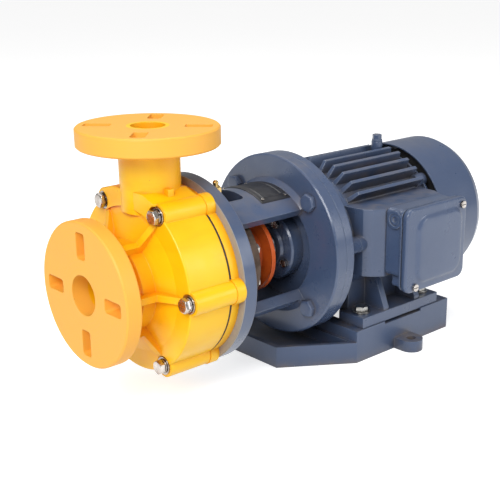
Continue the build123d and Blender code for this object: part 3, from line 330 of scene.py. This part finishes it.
# %% [markdown]
# ## Blue-grey machine enamel
#
# Castings are brushed or sprayed with one thick coat. It is slightly uneven like orange peel, it thins to a
# lighter line on edges, and workshop dust settles on what faces up and in corners. Old chips rust. Each
# casting takes its own amounts of dust and rust, so the recipe has them as arguments.

# %% Machine enamel
ENAMEL = (0.050, 0.080, 0.158)
ENAMEL_PALE = (0.072, 0.105, 0.190)
ENAMEL_EDGE = (0.20, 0.25, 0.34)
DUST = (0.235, 0.185, 0.135)
RUST = (0.19, 0.070, 0.028)


def machine_enamel(name, dust=0.5, rust=0.0, shine=0.30, round_edge=0.0016, special=None):
    """Thick enamel over a casting, with dust where it settles, rust where it has chipped and painted shade, nearly
    black, deep in hollows.
    """
    f = Finish(name, roughness=shine, specular=0.55, coat=0.25)
    eased = f.ease(round_edge)
    edge = f.sum("MULTIPLY", f.edges(eased), f.ramp(f.noise(60, 3), [(0.35, 0.15), (0.7, 0.60)]))
    colour = f.mix(f.ramp(f.noise(9, 4), [(0.3, 0.0), (0.7, 1.0)]), ENAMEL, ENAMEL_PALE)
    colour = f.mix(edge, colour, ENAMEL_EDGE)
    corner = f.ramp(f.crevice(0.012), [(0.12, 0.0), (0.65, 1.0)])
    level = f.ramp(f.facing("Z"), [(0.55, 0.0), (0.95, 1.0)])
    patches = f.ramp(f.noise(34, 5, roughness=0.65), [(0.40, 0.0), (0.66, 1.0)])
    settled = f.sum("MULTIPLY", f.sum("MAXIMUM", corner, f.sum("MULTIPLY", level, 0.55)), patches)
    settled = f.sum("MULTIPLY", settled, dust)
    colour = f.mix(settled, colour, DUST)
    if rust:
        chips = f.ramp(f.noise(130, 4, roughness=0.7, centre=(5, 2, 7)), [(0.735 - 0.05 * rust, 0.0), (0.75, 0.9)])
        stains = f.ramp(f.noise(21, 5, centre=(3, 1, 2)), [(0.56, 0.0), (0.72, rust)])
        chips = f.sum("MULTIPLY", chips, f.ramp(f.noise(17, 3, centre=(1, 8, 4)), [(0.50, 0.0), (0.62, 1.0)]))
        colour = f.mix(f.sum("MAXIMUM", chips, f.sum("MULTIPLY", stains, corner)), colour, RUST)
    rough = f.mix(settled, f.ramp(f.noise(48, 3), [(0.3, shine - 0.06), (0.7, shine + 0.08)]), (0.75, 0.75, 0.75))
    # painted shade: deep hollows are painted nearly black
    painted_hollow_shade = f.ramp(f.crevice(0.05), [(0.30, 0.0), (0.95, 0.75)])
    colour = f.mix(painted_hollow_shade, colour, (0.012, 0.014, 0.022))
    f.bump(f.noise(240, 2), 0.16, 0.00025)
    f.bump(f.noise(60, 3), 0.14, 0.0008)
    if special:
        colour, rough = special(f, colour, rough)
    return f.done(colour, rough)


BRACKET_FACE_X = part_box("bracket")[0].x
FRONT_DISC_REAR_X = BRACKET_FACE_X + 0.0158


def bare_front_ring(f, colour, rough):
    """The bracket's front face was machined after painting, so its rim shows grey iron."""
    shaft = f.radius((0, 0, SHAFT_Z), (0, 1, 1))
    face = f.between(f.axis("X"), BRACKET_FACE_X - 0.002, BRACKET_FACE_X + 0.0007, 0.0002)
    iron = f.mix(f.tool_marks(shaft, 1500), (0.24, 0.225, 0.21), (0.36, 0.34, 0.32))
    colour = f.mix(face, colour, iron)
    rim = f.between(f.axis("X"), FRONT_DISC_REAR_X - 0.0011, FRONT_DISC_REAR_X - 0.0002, 0.0002)
    worn = f.sum("MULTIPLY", rim, f.ramp(f.noise(50, 3), [(0.35, 0.1), (0.6, 0.8)]))
    worn = f.sum("MULTIPLY", worn, f.between(shaft, 0.0925, 0.11, 0.0005))
    colour = f.mix(worn, colour, (0.42, 0.36, 0.30))
    return colour, f.mix(face, rough, (0.42, 0.42, 0.42))


# %% [markdown]
# ## Bright metal, rubber and the small finishes
#
# Most small pieces need the same idea: two close colours mixed by noise, a little relief, and a roughness
# that wanders. One function makes them all, and each finish is one line of choices.

# %% Small finishes
def small_finish(name, dark, pale, rough, metal=0.0, grain=300, relief=0.15, stretch=(1, 1, 1), corner_darkening=0.0, ease=0.0004):
    """Two close colours mixed by noise, with grain in the relief and the colour darkened towards a near-black brown
    deep in corners.
    """
    f = Finish(name, roughness=rough, metallic=metal)
    f.ease(ease)
    cloud = f.ramp(f.noise(grain * 0.25, 3, stretch=stretch), [(0.32, 0.0), (0.68, 1.0)])
    colour = f.mix(cloud, dark, pale)
    if corner_darkening:
        # the colour is darkened deep in corners, towards a near-black brown
        corner = f.ramp(f.crevice(0.006), [(0.1, 0.0), (0.7, corner_darkening)])
        colour = f.mix(corner, colour, (0.055, 0.035, 0.02))
    uneven = f.ramp(f.noise(grain * 0.5, 3, stretch=stretch), [(0.3, rough - 0.05), (0.7, rough + 0.09)])
    f.bump(f.noise(grain, 2, stretch=stretch), relief, 0.0001)
    return f.done(colour, uneven)


finishes = {
    "yellow casing": moulded_yellow("yellow casing", True),
    "yellow cover": moulded_yellow("yellow cover", False),
    "bracket enamel": machine_enamel("bracket enamel", dust=0.55, rust=0.25, special=bare_front_ring),
    "motor enamel": machine_enamel("motor enamel", dust=0.7, rust=0.3, round_edge=0.0020),
    "shield enamel": machine_enamel("shield enamel", dust=0.45, rust=0.1, shine=0.27),
    "cowl enamel": machine_enamel("cowl enamel", dust=0.2, shine=0.32, round_edge=0.0010),
    "box enamel": machine_enamel("box enamel", dust=0.25, rust=0.1, round_edge=0.0028),
    "base enamel": machine_enamel("base enamel", dust=1.0, rust=0.7, shine=0.42),
    "fastener enamel": machine_enamel("fastener enamel", dust=0.4, shine=0.36),
    # the grey of the stainless is the steel's own; the brown warmth of its darker tone is painted reflection of the
    # yellow casing
    "stainless": small_finish("stainless", (0.42, 0.37, 0.33), (0.66, 0.63, 0.60), 0.24, 1.0, 500, 0.1, corner_darkening=0.8),
    "bright steel": small_finish("bright steel", (0.40, 0.40, 0.41), (0.62, 0.62, 0.63), 0.28, 1.0, 600, 0.12,
                                 stretch=(4, 1, 1), corner_darkening=0.4),
    "zinc steel": small_finish("zinc steel", (0.38, 0.38, 0.37), (0.58, 0.58, 0.56), 0.32, 1.0, 400, 0.15, corner_darkening=0.9),
    "black rubber": small_finish("black rubber", (0.012, 0.012, 0.013), (0.035, 0.033, 0.032), 0.62, 0.0, 350, 0.3),
    "dark gland": small_finish("dark gland", (0.060, 0.040, 0.030), (0.150, 0.105, 0.080), 0.38, 0.8, 260, 0.3, corner_darkening=0.9),
    "brass": small_finish("brass", (0.55, 0.36, 0.12), (0.78, 0.57, 0.24), 0.26, 1.0, 500, 0.1, corner_darkening=0.6),
    "orange rubber": small_finish("orange rubber", (0.50, 0.070, 0.008), (0.66, 0.115, 0.012), 0.42, 0.0, 260, 0.2,
                                  corner_darkening=0.5),
    "plate black": small_finish("plate black", (0.016, 0.016, 0.019), (0.032, 0.032, 0.036), 0.38, 0.0, 300, 0.15),
    "lapped ceramic": small_finish("lapped ceramic", (0.72, 0.70, 0.64), (0.82, 0.80, 0.76), 0.2, 0.0, 200, 0.05),
    "seal carbon": small_finish("seal carbon", (0.02, 0.02, 0.021), (0.05, 0.05, 0.052), 0.35, 0.0, 300, 0.1),
    "core steel": small_finish("core steel", (0.14, 0.13, 0.12), (0.26, 0.25, 0.24), 0.45, 0.9, 900, 0.5,
                               stretch=(6, 0.2, 0.2)),
    "varnished copper": small_finish("varnished copper", (0.25, 0.07, 0.02), (0.45, 0.16, 0.06), 0.35, 0.3, 500, 0.6),
    "black plastic": small_finish("black plastic", (0.016, 0.016, 0.017), (0.035, 0.035, 0.036), 0.5, 0.0, 350, 0.2),
}
print("finishes", len(finishes))

# %% Which piece wears which finish
wears = {
    "yellow casing": ["pump_casing"],
    "yellow cover": ["back_cover", "impeller"],
    "bracket enamel": ["bracket"],
    "motor enamel": ["motor_frame", "lifting_bolt"],
    "shield enamel": ["front_end_shield", "rear_end_shield", "bearing_cap"],
    "cowl enamel": ["fan_cowl", "cowl_screws"],
    "box enamel": ["terminal_box", "terminal_lid", "entry_plug"],
    "base enamel": ["base_plate"],
    "fastener enamel": ["flange_bolts", "flange_nuts", "end_shield_bolts"],
    "dark gland": ["seal_gland"],
    "stainless": ["casing_bolts", "casing_flat_washers", "casing_spring_washers", "gland_bolts", "seal_spring",
                  "seal_drive_collar", "impeller_nut", "name_plate_rivets", "lid_screws",
                  "bearing_cap_screws"],
    "bright steel": ["pump_shaft", "motor_shaft", "shaft_key", "front_bearing_inner_ring", "rear_bearing_inner_ring",
                     "front_bearing_outer_ring", "rear_bearing_outer_ring"],
    "zinc steel": ["foot_bolts", "foot_washers", "clamp_set_screws", "rear_shield_screws"],
    "black rubber": ["casing_gasket", "seal_seat_rubber", "lid_gasket"],
    "brass": ["flush_nipple"],
    "orange rubber": ["slinger_disc"],
    "plate black": ["name_plate"],
    "lapped ceramic": ["seal_seat"],
    "seal carbon": ["seal_rotating_ring"],
    "core steel": ["stator_core", "rotor_core"],
    "varnished copper": ["stator_windings"],
    "black plastic": ["terminal_block", "cooling_fan"],
}


def dress(piece, finish):
    """Gives a piece one finish in its only material slot."""
    piece.data.materials.clear()
    piece.data.materials.append(finishes[finish])


for finish, names in wears.items():
    for name in names:
        dress(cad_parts[name], finish)
undressed = set(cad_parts) - {name for names in wears.values() for name in names}
print("pieces without a finish:", sorted(undressed))

# %% [markdown]
# ## Bolts as stacked rings
#
# A bolt is one surface: rings of points stacked along its axis, from the tip of the shank to the middle of the
# head. Round a ring, a hexagon's edge lies at half the width over flats divided by the cosine of the angle to
# the nearest flat. The chamfer that the maker turns on a head is a 30 degree cone, so the further out the
# hexagon reaches, the lower its top edge lies. That gives the curved scallops of a real head.

# %% Rings into meshes
ROUND_STEPS = 72
ring_angles = np.arange(ROUND_STEPS) * 2 * np.pi / ROUND_STEPS


def stacked_mesh(name, solids, nodes, finish, crease=35):
    """One object from solids of stacked rings, each an array of rings by points by 3, and whether it closes on itself."""
    corners = []
    faces = []
    start = 0
    for rings, closed in solids:
        count, steps = rings.shape[:2]
        grid = start + np.arange(count * steps).reshape(count, steps)
        lower = grid if closed else grid[:-1]
        upper = np.roll(grid, -1, axis=0) if closed else grid[1:]
        quads = np.stack([lower, np.roll(lower, -1, axis=1), np.roll(upper, -1, axis=1), upper], axis=-1)
        faces += quads.reshape(-1, 4).tolist()
        if not closed:
            faces += [grid[0][::-1].tolist(), grid[-1].tolist()]
        corners.append(rings.reshape(-1, 3))
        start += count * steps
    mesh = bpy.data.meshes.new(name)
    mesh.from_pydata(np.concatenate(corners).tolist(), [], faces)
    mesh.polygons.foreach_set("use_smooth", np.ones(len(mesh.polygons), dtype=bool))
    mesh.set_sharp_from_angle(angle=math.radians(crease))
    piece = bpy.data.objects.new(name, mesh)
    bpy.context.scene.collection.objects.link(piece)
    dress(piece, finish)
    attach(piece, "stationary")
    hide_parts(*nodes)
    return piece


def about(axis, origin, heights, radii, spin=0.0):
    """Points of rings about an axis: heights along it from the origin, radii across it, one row for each ring."""
    axis = Vector(axis).normalized()
    side = axis.orthogonal().normalized()
    other = axis.cross(side)
    heights, radii = np.broadcast_arrays(np.asarray(heights, float), np.asarray(radii, float))
    turned = ring_angles + spin
    return (np.array(origin) + (radii * np.cos(turned))[..., None] * np.array(side)
            + (radii * np.sin(turned))[..., None] * np.array(other) + heights[..., None] * np.array(axis))


def hexagon_bolt(origin, axis, flats, head, shank_r, length, spin):
    """A bolt whose head sits on the origin.

    The hexagon's reach is half the flats over the cosine of the angle to the nearest flat. The head's face is
    flat out to 0.45 of the flats, and from there it falls by the extra reach times the tangent of 30 degrees."""
    from_flat = (ring_angles + math.pi / 6) % (math.pi / 3) - math.pi / 6
    reach = flats / 2 / np.cos(from_flat)
    face = 0.45 * flats
    drop = (reach - face) * math.tan(math.radians(30))
    soft = 0.018 * flats
    even = np.ones(ROUND_STEPS)
    rows = [(-length * even, 0.05 * shank_r * even), (-length * even, 0.82 * shank_r * even),
            ((0.18 * shank_r - length) * even, shank_r * even), (0 * even, shank_r * even),
            (0 * even, reach - soft), (soft * even, reach), (head - drop - soft, reach),
            (head - drop + 0.2 * soft, reach - 0.6 * soft), (head - 0.1 * drop, face + 0.1 * (reach - face)),
            (head * even, (face - soft) * even), (head * even, 0.05 * face * even)]
    heights = np.array([row[0] for row in rows])
    radii = np.array([row[1] for row in rows])
    return about(axis, origin, heights, radii, spin), False


def flat_washer(origin, axis, outer, inner, thick):
    """A round washer that stands on the origin, its rims eased by an eighth of its thickness."""
    e = thick / 8
    section = [(inner + e, 0), (outer - e, 0), (outer, e), (outer, thick - e), (outer - e, thick), (inner + e, thick),
               (inner, thick - e), (inner, e)]
    heights = np.array([[h] * ROUND_STEPS for _, h in section])
    radii = np.array([[r] * ROUND_STEPS for r, _ in section])
    return about(axis, origin, heights, radii), True


def spring_washer(origin, axis, outer, inner, thick, start):
    """A square bar bent round less than one turn about the axis, its free end a quarter of its thickness higher.

    The bar's section is a circle whose sine and cosine are raised to a power of 0.3, which squares it."""
    axis = Vector(axis).normalized()
    side = np.array(axis.orthogonal().normalized())
    other = np.cross(np.array(axis), side)
    path = np.linspace(0.10, 2 * math.pi - 0.10, 64)
    phase = np.arange(16) * math.pi / 8 + math.pi / 16
    up = np.sign(np.cos(phase)) * np.abs(np.cos(phase)) ** 0.3 * thick / 2
    out = np.sign(np.sin(phase)) * np.abs(np.sin(phase)) ** 0.3 * (outer - inner) / 2
    outward = np.cos(path + start)[:, None] * side + np.sin(path + start)[:, None] * other
    rise = thick * (0.5 + 0.25 * path / (2 * math.pi))
    radius = (outer + inner) / 2 + out[None, :]
    height = rise[:, None] + up[None, :]
    rings = np.array(origin) + radius[..., None] * outward[:, None, :] + height[..., None] * np.array(axis)
    return rings, False


def on_circle(x, radius, degrees):
    """A place about the shaft line, with the angle counted from the top towards the terminal box."""
    angle = math.radians(degrees)
    return (x, -radius * math.sin(angle), SHAFT_Z + radius * math.cos(angle))


# %% Casing bolts with their washers
CASING_BOSS_X = SUCTION_FACE_X + 0.058
CASING_BOLT_CIRCLE = 0.0865
FORWARD = (-1, 0, 0)
UP = (0, 0, 1)
WASHER_T = 0.0016
SPRING_T = 0.0020
bolts, washers, springs = [], [], []
for k in range(6):
    seat = on_circle(CASING_BOSS_X, CASING_BOLT_CIRCLE, 30 + 60 * k)
    washers.append(flat_washer(seat, FORWARD, 0.0090, 0.00425, WASHER_T))
    seat = (seat[0] - WASHER_T, seat[1], seat[2])
    springs.append(spring_washer(seat, FORWARD, 0.0072, 0.00425, SPRING_T * 0.8, 1.3 + 2.1 * k))
    seat = (seat[0] - SPRING_T, seat[1], seat[2])
    bolts.append(hexagon_bolt(seat, FORWARD, 0.013, 0.0053, 0.004, 0.0735, 0.35 + 0.77 * k))
stacked_mesh("eased_casing_bolts", bolts, ["casing_bolts"], "stainless")
stacked_mesh("eased_flat_washers", washers, ["casing_flat_washers"], "stainless")
stacked_mesh("split_washers", springs, ["casing_spring_washers"], "stainless")
print("casing bolts", len(bolts))

# %% Bolts of the motor flange and of the feet
FLANGE_BOLT_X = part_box("flange_bolts")[0].x + 0.0064
FOOT_TOP_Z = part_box("foot_washers")[1].z
flange = [hexagon_bolt(on_circle(FLANGE_BOLT_X, 0.0825, 45 + 90 * k), FORWARD, 0.017, 0.0064, 0.005, 0.037, 0.5 * k)
          for k in range(4)]
stacked_mesh("eased_flange_bolts", flange, ["flange_bolts"], "fastener enamel")
foot_low, foot_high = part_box("foot_washers")
feet = [hexagon_bolt((x, y, FOOT_TOP_Z), UP, 0.013, 0.0055, 0.004, 0.023, 0.4 + x * 9 + y * 4)
        for x in (foot_low.x + 0.010, foot_high.x - 0.010) for y in (-0.070, 0.070)]
stacked_mesh("eased_foot_bolts", feet, ["foot_bolts"], "zinc steel")
print("flange bolts", len(flange), "foot bolts", len(feet))

# %% [markdown]
# ## The terminal lid
#
# The lid is cast with a soft raised panel. Both its rim and its panel are rounded rectangles, so the surface is
# a stack of such outlines. Each has the same number of points, which lets the rim pass into the panel. The
# panel's flank rises as a smooth step: three times the square of the way minus twice its cube.

# %% Terminal lid
lid_low, lid_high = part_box("terminal_lid")
LID_T = 0.007
PANEL_RISE = 0.003
RIM_RADIUS = 0.010
PANEL_RADIUS = 0.017
LID_EDGE = 0.0020
PANEL_FLANK = 0.0050


def rounded_outline(low, high, radius, inset=0.0):
    """Points in X and Z round a rounded rectangle: quarter circles about the four corner centres, set in by some."""
    quarter = np.linspace(0, math.pi / 2, 15)
    radius = max(radius - inset, 0.0015)
    points = []
    for k, (right_side, top_side) in enumerate([(1, 1), (0, 1), (0, 0), (1, 0)]):
        x = high[0] - inset - radius if right_side else low[0] + inset + radius
        z = high[1] - inset - radius if top_side else low[1] + inset + radius
        angle = quarter + k * math.pi / 2
        points.append(np.stack([x + radius * np.cos(angle), z + radius * np.sin(angle)], axis=-1))
    return np.concatenate(points)


rim_low, rim_high = (lid_low.x, lid_low.z), (lid_high.x, lid_high.z)
panel_low, panel_high = (lid_low.x + 0.0145, lid_low.z + 0.007), (lid_high.x - 0.007, lid_high.z - 0.009)
back_y = lid_high.y
outlines = [(rounded_outline(rim_low, rim_high, RIM_RADIUS, 0.0008), 0.0),
            (rounded_outline(rim_low, rim_high, RIM_RADIUS), 0.0008)]
for turn_in in np.linspace(0, math.pi / 2, 6):
    set_in = LID_EDGE * (1 - math.cos(turn_in))
    outlines.append((rounded_outline(rim_low, rim_high, RIM_RADIUS, set_in), LID_T - LID_EDGE * (1 - math.sin(turn_in))))
for way in np.linspace(0, 1, 9):
    rise = PANEL_RISE * (3 * way ** 2 - 2 * way ** 3)
    outlines.append((rounded_outline(panel_low, panel_high, PANEL_RADIUS, PANEL_FLANK * way), LID_T + rise))
for set_in in (0.010, 0.020, 0.036):
    outlines.append((rounded_outline(panel_low, panel_high, PANEL_RADIUS, set_in), LID_T + PANEL_RISE))
lid = np.stack([np.stack([points[:, 0], np.full(len(points), back_y - out), points[:, 1]], axis=-1)
                for points, out in outlines])
stacked_mesh("soft_panel_lid", [(lid, False)], ["terminal_lid"], "box enamel", crease=60)
print("lid outlines", len(outlines))

# %% [markdown]
# ## The blank name plate
#
# The plate is thin sheet, rolled to the lantern and riveted on. Its border is a low embossed line, and the
# field inside stays bare. The section is walked round once, over the top and back underneath, and pushed
# along the shaft in small steps. The border's height depends on the distance to the nearest edge.

# %% Rolled name plate
plate_low, plate_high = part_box("name_plate")
PLATE_RADIUS = 0.070
PLATE_T = 0.0008
HALF_PLATE = math.radians(30)
along = np.linspace(plate_low.x, plate_high.x, 61)
across = np.linspace(-HALF_PLATE, HALF_PLATE, 91)
edge_gap = np.minimum(np.minimum(along - plate_low.x, plate_high.x - along)[:, None],
                      ((HALF_PLATE - np.abs(across)) * PLATE_RADIUS)[None, :])
emboss = 0.0005 * np.exp(-((edge_gap - 0.0072) / 0.0007) ** 2)
outside = PLATE_RADIUS + PLATE_T + emboss - 0.0003 * np.exp(-edge_gap / 0.0004)
inside = np.full_like(outside, PLATE_RADIUS)
angles = np.concatenate([across, across[::-1]])
radii = np.concatenate([outside, inside[:, ::-1]], axis=1)
plate = np.stack([np.broadcast_to(along[:, None], radii.shape), -radii * np.sin(angles),
                  SHAFT_Z + radii * np.cos(angles)], axis=-1)
stacked_mesh("rolled_name_plate", [(plate, False)], ["name_plate"], "plate black")
print("plate points", plate.shape[0] * plate.shape[1])

# %% [markdown]
# ## Floor and light
#
# The floor is a plain sheet. It glows a little for the camera alone, so that it reads as white while its
# own shading still shows the pump's shadow, and that glow never lights the pump. Large soft lamps stand
# in for a photographer's light tent: the main one high on the left, a weaker one on the right, one above.

# %% Floor
FLOOR_GLOW = 0.66
floor_mesh = bpy.data.meshes.new("floor")
reach = 6.0
floor_mesh.from_pydata([(-reach, -reach, 0), (reach, -reach, 0), (reach, reach, 0), (-reach, reach, 0)], [], [(0, 1, 2, 3)])
floor = bpy.data.objects.new("floor", floor_mesh)
bpy.context.scene.collection.objects.link(floor)
sheet = Finish("pale floor", roughness=0.9, specular=0.2)
path = sheet.tree.nodes.new("ShaderNodeLightPath")
seen = sheet.sum("MAXIMUM", path.outputs["Is Camera Ray"], path.outputs["Is Glossy Ray"])
seen = sheet.sum("MAXIMUM", seen, path.outputs["Is Transmission Ray"])
sheet.feed(sheet.shader.inputs["Emission Strength"], sheet.sum("MULTIPLY", seen, FLOOR_GLOW))
sheet.shader.inputs["Emission Color"].default_value = (1, 1, 1, 1)
paper = sheet.mix(sheet.noise(3, 2), (0.74, 0.74, 0.74), (0.76, 0.76, 0.76))
floor_mesh.materials.append(sheet.done(paper))

# %% Lamps
AIM = Vector((-0.08, 0.0, 0.13))


def soft_lamp(name, place, size, power, colour=(1, 1, 1)):
    """A square lamp that faces the pump."""
    data = bpy.data.lights.new(name, "AREA")
    data.size = size
    data.energy = power
    data.color = colour
    lamp = bpy.data.objects.new(name, data)
    lamp.location = place
    lamp.rotation_euler = (AIM - Vector(place)).to_track_quat("-Z", "Y").to_euler()
    bpy.context.scene.collection.objects.link(lamp)
    return lamp


soft_lamp("main lamp", (-1.5, -0.9, 1.3), 1.0, 30)
soft_lamp("side lamp", (0.9, -1.7, 0.8), 1.0, 10)
soft_lamp("top lamp", (0.1, 0.5, 1.9), 1.4, 16)

world = bpy.data.worlds.new("studio")
bpy.context.scene.world = world
world.use_nodes = True
sky = world.node_tree.nodes["Background"]
sky.inputs["Color"].default_value = (1, 1, 1, 1)
sky.inputs["Strength"].default_value = 0.36
bpy.context.scene.view_settings.view_transform = "Standard"
